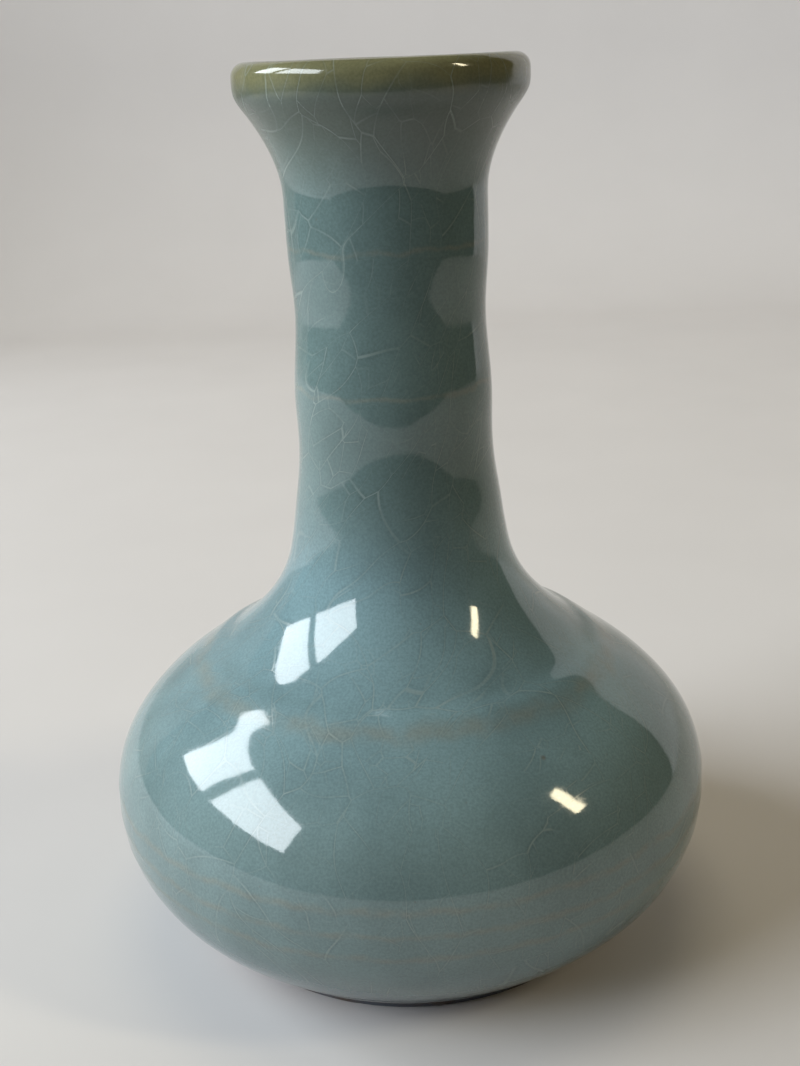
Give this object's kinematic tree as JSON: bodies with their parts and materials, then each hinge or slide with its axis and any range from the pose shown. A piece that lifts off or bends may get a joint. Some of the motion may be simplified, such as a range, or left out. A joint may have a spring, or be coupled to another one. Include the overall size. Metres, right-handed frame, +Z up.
{
  "type": "vase",
  "caption": "Squat bottle vase with a tall ringed neck, flared mouth and rounded lip, luted from clay sections, glazed celadon inside and out over a bare dark foot ring.",
  "frame": {"origin": "centre of the flat standing face of the foot ring, which is the bottom centre of the vase", "axes": "+Z up the axis of rotation, towards the mouth; +X and +Y are level, and the vase is round, so their direction is free"},
  "size_m": [0.0914, 0.0914, 0.13],
  "materials": {
    "celadon": "gloss",
    "lining": "gloss",
    "body_clay": "matte",
    "slip": "matte",
    "foot_clay": "matte"
  },
  "bodies": {
    "root": {"foot_ring": "foot_clay", "foot_slip": "slip", "lower_body": "body_clay", "belly_slip": "slip", "upper_body": "body_clay", "shoulder_slip": "slip", "neck": "body_clay", "outer_glaze": "celadon", "inner_glaze": "lining", "base_glaze": "lining"}
  },
  "joints": []
}
